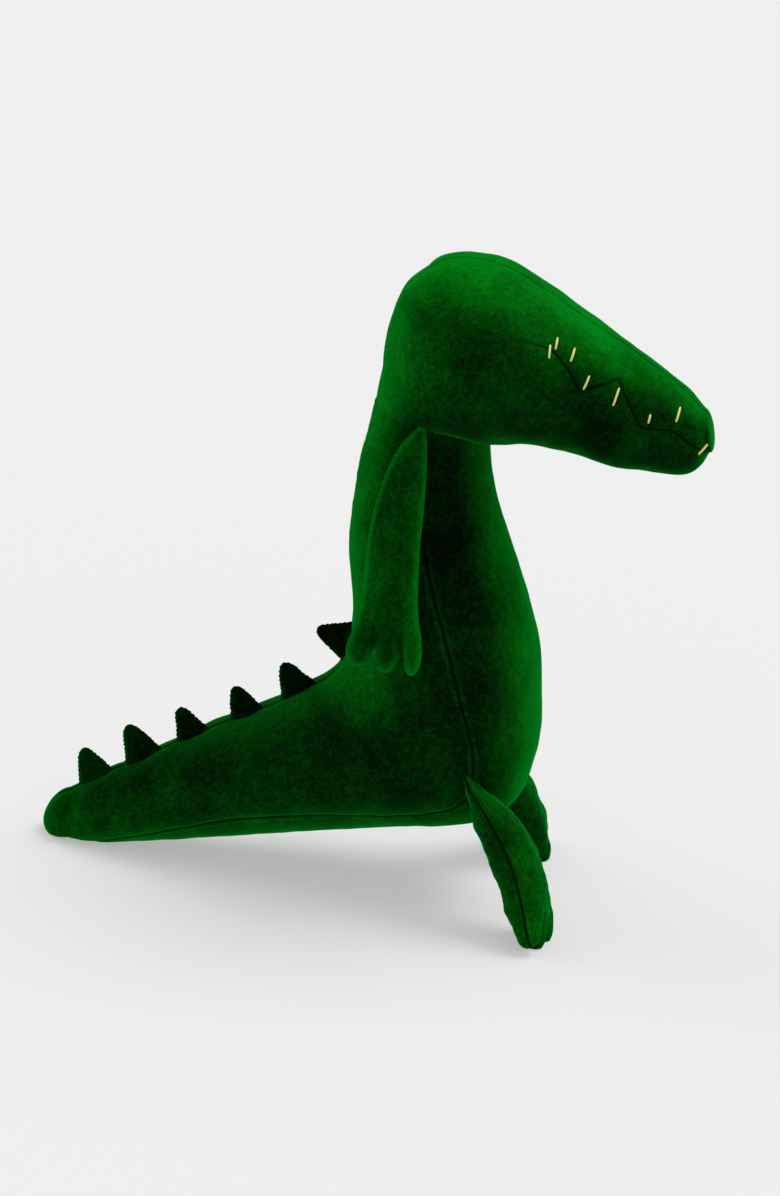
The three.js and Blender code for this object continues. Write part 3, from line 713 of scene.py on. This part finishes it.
def make_leg(name, side):
    """A leg: a thick pillow sewn round its edge, from a pinched root on the side seam down to a
    foot with three toes. It bows ahead by a half sine of the length down."""
    hip = np.array([HIP[0], side * HIP[1], HIP[2]])
    foot = np.array([FOOT[0], side * FOOT[1], FOOT[2]])
    up = (hip - foot) / np.linalg.norm(hip - foot)
    facing = np.cross([0, 1, 0], up)
    facing /= np.linalg.norm(facing)
    across = np.cross(up, facing)
    form = table_curve(np.array(LEG_FORM), np.linspace(0, len(LEG_FORM) - 1, 400))
    tips = table_curve(np.array(LEG_TIPS), np.linspace(0, len(LEG_TIPS) - 1, 600))

    def right(d):
        return np.interp(d, form[:, 0], form[:, 1])

    def left(d):
        return -right(d)

    def end(u):
        return np.full(len(u), form[0, 0]), np.interp(u, tips[:, 0], tips[:, 1])

    def depth(d):
        return np.interp(d, form[:, 0], form[:, 2])

    flat, away, rise, cloth = pillow(
        left, right, end, depth, rows=170, columns=96, reach=15.5, crest=0.52
    )
    a, d = flat[..., 0], flat[..., 1]
    space = np.stack([a, np.zeros_like(a), d], -1)
    shape = smoothstep(away, 0, 6)
    toe = np.zeros_like(a)
    for x in TOE_NOTCHES:
        toe += 3.2 * np.exp(-(((a - x) / 2.4) ** 2)) * smoothstep(d, 82, 103)
    seed = 51 + 4 * int(side > 0)
    wave = 0.5 * lumps(space, 22, seed) + 0.22 * lumps(space, 9, seed + 1)
    front = rise + (wave - toe) * shape
    wave = 0.5 * lumps(space, 22, seed + 2) + 0.22 * lumps(space, 9, seed + 3)
    back = -(rise + (wave - toe) * shape)

    hang, middle = LEG_HANG[side]
    bow = hang + middle * np.sin(np.pi * np.clip(d / 104, 0, 1))

    def placed(rise_):
        p = hip + a[..., None] * across - d[..., None] * up + (rise_ + bow)[..., None] * facing
        p[..., 2] = np.maximum(p[..., 2], FLOOR_REST)
        return p

    # Painted shade: the far leg, on the left, is darker than the near one, and each leg's back
    # face is darker than its front face.
    shade = 0.12 * int(side > 0)
    ahead = np.full_like(a, 0.52 - shade)
    behind = np.full_like(a, 0.39 - shade)
    return close_pillow(name, placed(front), placed(back), flat + LEG_GRAIN, cloth, ahead, behind)


# ---- Spikes ----------------------------------------------------------------------------------

# foot, tip and head of each spike in the middle plane: x and z
SPIKES = {
    "tail_spike_1": [[-173.5, 31], [-173.5, 57], [-151.5, 46]],
    "tail_spike_2": [[-146.5, 50.5], [-147.5, 76.5], [-123.5, 64.5]],
    "tail_spike_3": [[-116.5, 69.5], [-117, 92.5], [-95.5, 81.5]],
    "tail_spike_4": [[-85.5, 88.5], [-85, 111.5], [-64.5, 100.5]],
    "tail_spike_5": [[-55.5, 106.5], [-57, 131.5], [-33.5, 121.5]],
    "back_spike": [[-22, 138], [-39, 156], [-20, 165]],
}
SPIKE_HALF = 6.2
SPIKE_SUNK = 8  # how deep its base is in the back
LOOP_PITCH = 1.9  # between the small loops of pile on its edges


def make_spike(name, foot, tip, head, seed):
    """A spike: sections that shrink by a square law from its base to a round tip, each a lens of
    two arcs that meet at the front and back edges. The loops on the edges are a sine."""
    foot, tip, head = (np.array(p, float) for p in (foot, tip, head))
    rows, columns = 60, 72
    base = (foot + head) / 2
    sunk = (base - tip) / np.linalg.norm(base - tip) * SPIKE_SUNK
    t = np.linspace(0, 1, rows)
    t = 1 - (1 - t) ** 1.9
    turn = np.linspace(0, 2 * np.pi, columns, endpoint=False)
    size = (1.32 - 1.45 * t + 0.52 * t**2) * np.clip(1 - t**8, 0, 1) ** 0.5
    centre = (base + sunk)[None, :] + (tip - base - sunk)[None, :] * t[:, None]
    reach = (head - foot) / 2
    cos, sin = np.cos(turn), np.sin(turn)
    lens = np.sign(sin) * np.abs(sin) ** 1.15
    x = centre[:, :1] + size[:, None] * reach[0] * cos
    z = centre[:, 1:] + size[:, None] * reach[1] * cos
    y = SPIKE_HALF * (size[:, None] ** 0.75) * lens
    points = np.stack([x, y, z], -1)
    points[0] = points[0].mean(0)
    points[-1] = points[-1].mean(0)
    height = 0.12 * lumps(points, 9, seed) + 0.09 * lumps(points, 2.6, seed + 1)
    loops = np.sin(2 * np.pi * t * np.linalg.norm(tip - base) / LOOP_PITCH)
    height += 0.24 * loops[:, None] * smoothstep(np.abs(cos), 0.93, 1.0)
    ends = np.minimum(np.arange(rows), np.arange(rows)[::-1])[:, None]
    points = points + normals(points) * (height * smoothstep(ends, 1, 5))[..., None]
    run = round_lengths(points)
    along = t * np.linalg.norm(tip - base - sunk)
    near = np.broadcast_to(2 + np.abs(sin) * 8, (rows, columns))
    # Painted light: lighter along the edge at the spike's foot end and on spikes further along the
    # tail.
    paler = 0.18 * smoothstep(-tip[0], 90, 170)
    nap_and_painted_light = 0.24 + paler + 0.40 * np.broadcast_to(smoothstep(-cos, 0.6, 1.0), (rows, columns))
    return tube(name, points, (run[:, :-1], run[:, 1:]), along, near, nap_and_painted_light)


# ---- Stitches --------------------------------------------------------------------------------

# the upper and lower hole of each tooth stitch, x and z
TEETH = [
    [[79.7, 370], [79.4, 377.2]],
    [[82.9, 374.4], [83.3, 380.5]],
    [[93.1, 367.9], [94.7, 374.8]],
    [[103.3, 352.1], [105.9, 360.5]],
    [[122.7, 342.3], [125.1, 352.6]],
    [[145.9, 332.4], [146.4, 337.8]],
    [[162.7, 332.9], [164.2, 341.1]],
    [[179.2, 312], [184.1, 318]],
]
FLOSS_RADIUS = 0.68


def on_skin(tree, x, z, side):
    """How far out a skin is where a line across the toy at x and z meets it first."""
    hit = tree.ray_cast((x * MM, side * 0.2, z * MM), (0, -side, 0))[0]
    return abs(hit[1]) / MM if hit else 0.0


def make_stitch(name, tree, ends, side, seed):
    """A tooth: floss laid over the cloth from one hole to the other. Its path rises from the
    cloth as a half sine, and its section is six strands round, twisted along its length."""
    a, b = (np.array(p, float) for p in ends)
    rows, columns = 40, 36
    t = np.linspace(-0.12, 1.12, rows)
    line = a[None, :] + (b - a)[None, :] * t[:, None]
    depth = np.array([on_skin(tree, x, z, side) for x, z in line])
    depth = np.maximum(depth, np.interp(t, [t[0], t[-1]], [depth[0], depth[-1]]))
    path = np.stack([line[:, 0], depth, line[:, 1]], 1)
    lift = -2.2 + 2.9 * np.sin(np.pi * np.clip(t, 0, 1)) ** 0.3
    outward = np.array([0.1, 1.0, 0.15])
    outward /= np.linalg.norm(outward)
    path = path + lift[:, None] * outward
    ahead = np.gradient(path, axis=0)
    ahead /= np.linalg.norm(ahead, axis=1, keepdims=True)
    over = np.cross(ahead, outward)
    over /= np.linalg.norm(over, axis=1, keepdims=True)
    up = np.cross(over, ahead)
    turn = np.linspace(0, 2 * np.pi, columns, endpoint=False)
    twist = 2 * np.pi * t[:, None] * 0.9 + seed
    radius = FLOSS_RADIUS * (1 - 0.16 * np.abs(np.sin(3 * (turn[None, :] + twist))) ** 3)
    radius = radius * np.sqrt(np.clip(1 - np.linspace(-1, 1, rows) ** 12, 0, 1))[:, None]
    points = (
        path[:, None, :]
        + (radius * np.cos(turn))[..., None] * over[:, None, :] * 1.05
        + (radius * np.sin(turn))[..., None] * up[:, None, :]
    )
    if side < 0:
        points[..., 1] *= -1
    run = round_lengths(points)
    along = np.linspace(0, np.linalg.norm(b - a), rows)
    seam = np.zeros((rows, columns))
    return tube(name, points, (run[:, :-1], run[:, 1:]), along, seam, flip=side > 0)


# ---- Finishes --------------------------------------------------------------------------------


class Nodes:
    """Short names for building node trees."""

    def __init__(self, tree):
        self.tree = tree

    def add(self, kind):
        return self.tree.nodes.new(kind)

    def link(self, source, target):
        self.tree.links.new(source, target)

    def math(self, operation, a, b=None, clamp=False):
        node = self.add("ShaderNodeMath")
        node.operation = operation
        node.use_clamp = clamp
        for socket, value in zip(node.inputs, (a, b)):
            if value is None:
                continue
            if isinstance(value, (int, float)):
                socket.default_value = value
            else:
                self.link(value, socket)
        return node.outputs[0]

    def noise(self, vector, scale, detail=2.0, rough=0.5):
        node = self.add("ShaderNodeTexNoise")
        node.inputs["Scale"].default_value = scale
        node.inputs["Detail"].default_value = detail
        node.inputs["Roughness"].default_value = rough
        self.link(vector, node.inputs["Vector"])
        return node.outputs["Fac"]

    def stretch(self, vector, scale):
        node = self.add("ShaderNodeMapping")
        node.inputs["Scale"].default_value = scale
        self.link(vector, node.inputs["Vector"])
        return node.outputs[0]

    def ramp(self, value, low, high):
        node = self.add("ShaderNodeMapRange")
        node.inputs["From Min"].default_value = low
        node.inputs["From Max"].default_value = high
        node.interpolation_type = "SMOOTHSTEP"
        self.link(value, node.inputs["Value"])
        return node.outputs[0]

    def mix(self, fac, a, b):
        node = self.add("ShaderNodeMix")
        node.data_type = "RGBA"
        sockets = {s.identifier: s for s in node.inputs}
        for key, value in (("Factor_Float", fac), ("A_Color", a), ("B_Color", b)):
            if isinstance(value, (tuple, float, int)):
                sockets[key].default_value = value
            else:
                self.link(value, sockets[key])
        return {s.identifier: s for s in node.outputs}["Result_Color"]

    def bump(self, height, strength, distance, shader):
        node = self.add("ShaderNodeBump")
        node.inputs["Strength"].default_value = strength
        node.inputs["Distance"].default_value = distance
        self.link(height, node.inputs["Height"])
        self.link(node.outputs[0], shader.inputs["Normal"])


def new_finish(name):
    """A material, the short names for its nodes, its shader and the object's own coordinates."""
    material = bpy.data.materials.new(name)
    material.use_nodes = True
    n = Nodes(material.node_tree)
    coords = n.add("ShaderNodeTexCoord")
    return material, n, n.tree.nodes["Principled BSDF"], coords.outputs["Object"]


WALE_PITCH = 0.0015  # metres between two ribs of the knit
COURSE_PITCH = 0.0020  # metres between two rows of the knit


def pile_group():
    """The short pile of a knitted velour. Its height is the sum of ribs, tufts and clumps. Its
    shade is the square of the lightness given, which holds painted light and shade, plus brushed
    patches plus the same fine pattern."""
    tree = bpy.data.node_groups.new("velour_pile", "ShaderNodeTree")
    face = tree.interface
    face.new_socket("Place", in_out="INPUT", socket_type="NodeSocketVector")
    face.new_socket("Grain", in_out="INPUT", socket_type="NodeSocketVector")
    face.new_socket("Seam", in_out="INPUT", socket_type="NodeSocketFloat")
    face.new_socket("Ribs", in_out="INPUT", socket_type="NodeSocketFloat").default_value = 1.0
    face.new_socket("Nap_and_painted_light", in_out="INPUT", socket_type="NodeSocketFloat").default_value = 0.4
    face.new_socket("Shade", in_out="OUTPUT", socket_type="NodeSocketFloat")
    face.new_socket("Sewn", in_out="OUTPUT", socket_type="NodeSocketFloat")
    face.new_socket("Height", in_out="OUTPUT", socket_type="NodeSocketFloat")
    n = Nodes(tree)
    given = tree.nodes.new("NodeGroupInput")
    place_, grain, seam, ribs, nap_and_painted_light = (given.outputs[i] for i in range(5))
    split = n.add("ShaderNodeSeparateXYZ")
    n.link(grain, split.inputs[0])
    wander = n.math("MULTIPLY", n.noise(place_, 60, 1), 1.6)
    turn = n.math("ADD", n.math("MULTIPLY", split.outputs[0], 2 * math.pi / WALE_PITCH), wander)
    wales = n.math("MULTIPLY_ADD", n.math("SINE", turn), 0.5)
    wales.node.inputs[2].default_value = 0.5
    wander = n.math("MULTIPLY", n.noise(place_, 90, 1), 3.0)
    turn = n.math("ADD", n.math("MULTIPLY", split.outputs[1], 2 * math.pi / COURSE_PITCH), wander)
    courses = n.math("MULTIPLY_ADD", n.math("SINE", turn), 0.5)
    courses.node.inputs[2].default_value = 0.5
    shown = n.math("MULTIPLY", n.ramp(n.noise(place_, 26, 2), 0.38, 0.66), ribs)
    tufts = n.noise(n.stretch(place_, (1, 1, 0.75)), 950, 3, 0.62)
    clumps = n.noise(place_, 260, 3, 0.6)
    ribbed = n.math("MULTIPLY", n.math("ADD", wales, n.math("MULTIPLY", courses, 0.18)), shown)
    height = n.math("ADD", n.math("MULTIPLY", ribbed, 0.30), n.math("MULTIPLY", tufts, 0.75))
    height = n.math("ADD", height, n.math("MULTIPLY", clumps, 0.9))
    swept = n.noise(n.stretch(place_, (1.0, 1.0, 0.55)), 34, 3, 0.55)
    broad = n.noise(place_, 11, 2, 0.5)
    shade = n.math("ADD", n.math("MULTIPLY", swept, 0.55), n.math("MULTIPLY", broad, 0.45))
    shade = n.math("SUBTRACT", n.ramp(shade, 0.30, 0.70), 0.5)
    shade = n.math("ADD", nap_and_painted_light, n.math("MULTIPLY", shade, 0.20))
    fine = n.math("ADD", n.math("MULTIPLY", tufts, 0.5), n.math("MULTIPLY", clumps, 0.5))
    fine = n.math("SUBTRACT", n.math("ADD", fine, n.math("MULTIPLY", ribbed, 0.17)), 0.54)
    shade = n.math("ADD", shade, n.math("MULTIPLY", fine, 1.2), clamp=True)
    shade = n.math("POWER", shade, 2.0)
    made = tree.nodes.new("NodeGroupOutput")
    n.link(shade, made.inputs[0])
    n.link(n.ramp(seam, 0.0, 1.8), made.inputs[1])
    n.link(height, made.inputs[2])
    return tree


def velour(name, dark, light, seam_tone, painted_sheen_colour, group, ribs=1.0, bump=0.45):
    """A dark green velour: its colour goes from dark to light with the shade and to seam_tone at
    a seam, and it is mixed towards a bright sheen colour where the surface is seen at a slant, a
    painted sheen that is weaker where the painted shade is dark and near seams."""
    material, n, shader, place_ = new_finish(name)
    seam, nap_and_painted_light = (n.add("ShaderNodeAttribute") for _ in range(2))
    seam.attribute_name, nap_and_painted_light.attribute_name = "seam", "nap_and_painted_light"
    grain = n.add("ShaderNodeUVMap")
    grain.uv_map = "grain"
    pile = n.add("ShaderNodeGroup")
    pile.node_tree = group
    n.link(place_, pile.inputs["Place"])
    n.link(grain.outputs[0], pile.inputs["Grain"])
    n.link(seam.outputs["Fac"], pile.inputs["Seam"])
    n.link(nap_and_painted_light.outputs["Fac"], pile.inputs["Nap_and_painted_light"])
    pile.inputs["Ribs"].default_value = ribs
    colour = n.mix(pile.outputs["Shade"], (*dark, 1), (*light, 1))
    colour = n.mix(pile.outputs["Sewn"], (*seam_tone, 1), colour)
    # Painted sheen: the base colour turns to the bright sheen colour where the surface is seen at
    # a slant, less where the painted shade is dark and near seams.
    slant = n.add("ShaderNodeLayerWeight")
    slant.inputs["Blend"].default_value = 0.5
    tips = n.math("POWER", slant.outputs["Facing"], 2.6)
    tips = n.math("MULTIPLY", tips, n.ramp(nap_and_painted_light.outputs["Fac"], -0.1, 0.45))
    tips = n.math("MULTIPLY", tips, n.ramp(seam.outputs["Fac"], 0.2, 3.0))
    colour = n.mix(tips, colour, (*painted_sheen_colour, 1))
    n.link(colour, shader.inputs["Base Color"])
    shader.inputs["Roughness"].default_value = 1.0
    shader.inputs["Specular IOR Level"].default_value = 0.0
    shader.inputs["Sheen Weight"].default_value = 1.0
    shader.inputs["Sheen Roughness"].default_value = 0.34
    shader.inputs["Sheen Tint"].default_value = (0.0, 0.30, 0.02, 1)
    n.bump(pile.outputs["Height"], bump, 0.0007, shader)
    return material


def floss():
    """Cream six-strand floss: fine twisted strands with a soft silky gloss."""
    material, n, shader, place_ = new_finish("floss")
    strands = n.noise(n.stretch(place_, (1, 1, 0.35)), 2600, 2)
    colour = n.mix(strands, (0.74, 0.61, 0.12, 1), (0.97, 0.90, 0.27, 1))
    n.link(colour, shader.inputs["Base Color"])
    shader.inputs["Roughness"].default_value = 0.55
    shader.inputs["Sheen Weight"].default_value = 0.3
    n.bump(strands, 0.3, 0.0003, shader)
    return material


# ---- Stage -----------------------------------------------------------------------------------


def make_stage():
    """A plain pale floor, which fills the view."""
    mesh = bpy.data.meshes.new("floor")
    w = 9.0  # half its width, in metres
    mesh.from_pydata([(-w, -w, 0), (w, -w, 0), (w, w, 0), (-w, w, 0)], [], [(0, 1, 2, 3)])
    obj = bpy.data.objects.new("floor", mesh)
    bpy.context.collection.objects.link(obj)
    material = bpy.data.materials.new("paper")
    material.use_nodes = True
    shader = material.node_tree.nodes["Principled BSDF"]
    shader.inputs["Base Color"].default_value = (0.43, 0.43, 0.43, 1)
    shader.inputs["Roughness"].default_value = 1.0
    shader.inputs["Specular IOR Level"].default_value = 0.0
    shader.inputs["Emission Color"].default_value = (1, 1, 1, 1)
    shader.inputs["Emission Strength"].default_value = 0.38
    mesh.materials.append(material)


def sun(name, where, power, spread):
    """A soft distant light that shines from a direction, spread over an angle in degrees."""
    data = bpy.data.lights.new(name, "SUN")
    data.energy = power
    data.angle = math.radians(spread)
    obj = bpy.data.objects.new(name, data)
    bpy.context.collection.objects.link(obj)
    back = np.array(where, float)
    back /= np.linalg.norm(back)
    side = np.cross([0, 1, 0], back)
    side /= np.linalg.norm(side)
    place(obj, side, np.cross(back, side), back, back * 3)


def make_lights():
    """Soft studio light: a large soft box above and a little behind, and an even surround."""
    sun("soft_box", (0.42, 0.32, 1.0), 1.70, 36)
    sun("left_strip", (-1.0, 0.25, 0.9), 0.45, 40)
    world = bpy.data.worlds.new("studio")
    world.use_nodes = True
    world.node_tree.nodes["Background"].inputs[0].default_value = (1, 1, 1, 1)
    world.node_tree.nodes["Background"].inputs[1].default_value = 0.56
    bpy.context.scene.world = world
    bpy.context.scene.view_settings.view_transform = "Standard"


# ---- Assembly --------------------------------------------------------------------------------

make_camera()
make_stage()
make_lights()
pile = pile_group()
# The fourth colour of each velour is its painted sheen colour.
skin_velour = velour(
    "velour", (0.0010, 0.004, 0.0010), (0.0014, 0.21, 0.006), (0.0008, 0.006, 0.0008),
    (0.0012, 0.125, 0.010), pile,
)  # fmt: skip
spike_velour = velour(
    "spike_velour", (0.0006, 0.0015, 0.0006), (0.0008, 0.10, 0.003), (0.0006, 0.004, 0.0006),
    (0.0008, 0.035, 0.003), pile, ribs=0.2, bump=0.8,
)  # fmt: skip
floss_finish = floss()


def finish_piece(obj, material, slot, *nodes):
    """Gives a piece its finish and hides the nodes that it replaces. Its slot is not used."""
    obj.data.materials.append(material)
    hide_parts(*nodes)
    return obj


body = finish_piece(
    make_body(), skin_velour, "green_pile",
    "belly_panel", "back_panel_left", "back_panel_right", "torso_stuffing",
    "tail_panel_left", "tail_panel_right", "tail_underside_panel", "tail_stuffing",
)  # fmt: skip
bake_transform(body)

head = make_head()
head_tree = BVHTree.FromObject(head, bpy.context.evaluated_depsgraph_get())
finish_piece(
    head, skin_velour, "green_pile",
    "nape_left", "nape_right", "crown_left", "crown_right", "jaw_left", "jaw_right",
    "head_stuffing",
)  # fmt: skip
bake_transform(head)

for side_name, side in (("left", 1), ("right", -1)):
    arm = finish_piece(
        make_arm(f"arm_{side_name}_skin", side), skin_velour, "green_pile",
        f"arm_{side_name}_root", f"arm_{side_name}_front_panel",
        f"arm_{side_name}_back_panel", f"arm_{side_name}_stuffing",
    )  # fmt: skip
    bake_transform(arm)  # fmt: skip
    leg = finish_piece(
        make_leg(f"leg_{side_name}_skin", side), skin_velour, "green_pile",
        f"leg_{side_name}_front_panel", f"leg_{side_name}_back_panel", f"leg_{side_name}_stuffing",
    )  # fmt: skip
    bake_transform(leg)  # fmt: skip
    for i, ends in enumerate(TEETH):
        node = f"tooth_stitch_{side_name}_{i + 1}"
        stitch = make_stitch(f"{node}_floss", head_tree, ends, side, i)
        finish_piece(stitch, floss_finish, "cream_floss", node)
        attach(stitch, "head")

for i, (name, corners) in enumerate(SPIKES.items()):
    spike = make_spike(f"{name}_skin", *corners, 61 + 2 * i)
    finish_piece(spike, spike_velour, "green_pile", name)
    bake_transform(spike)
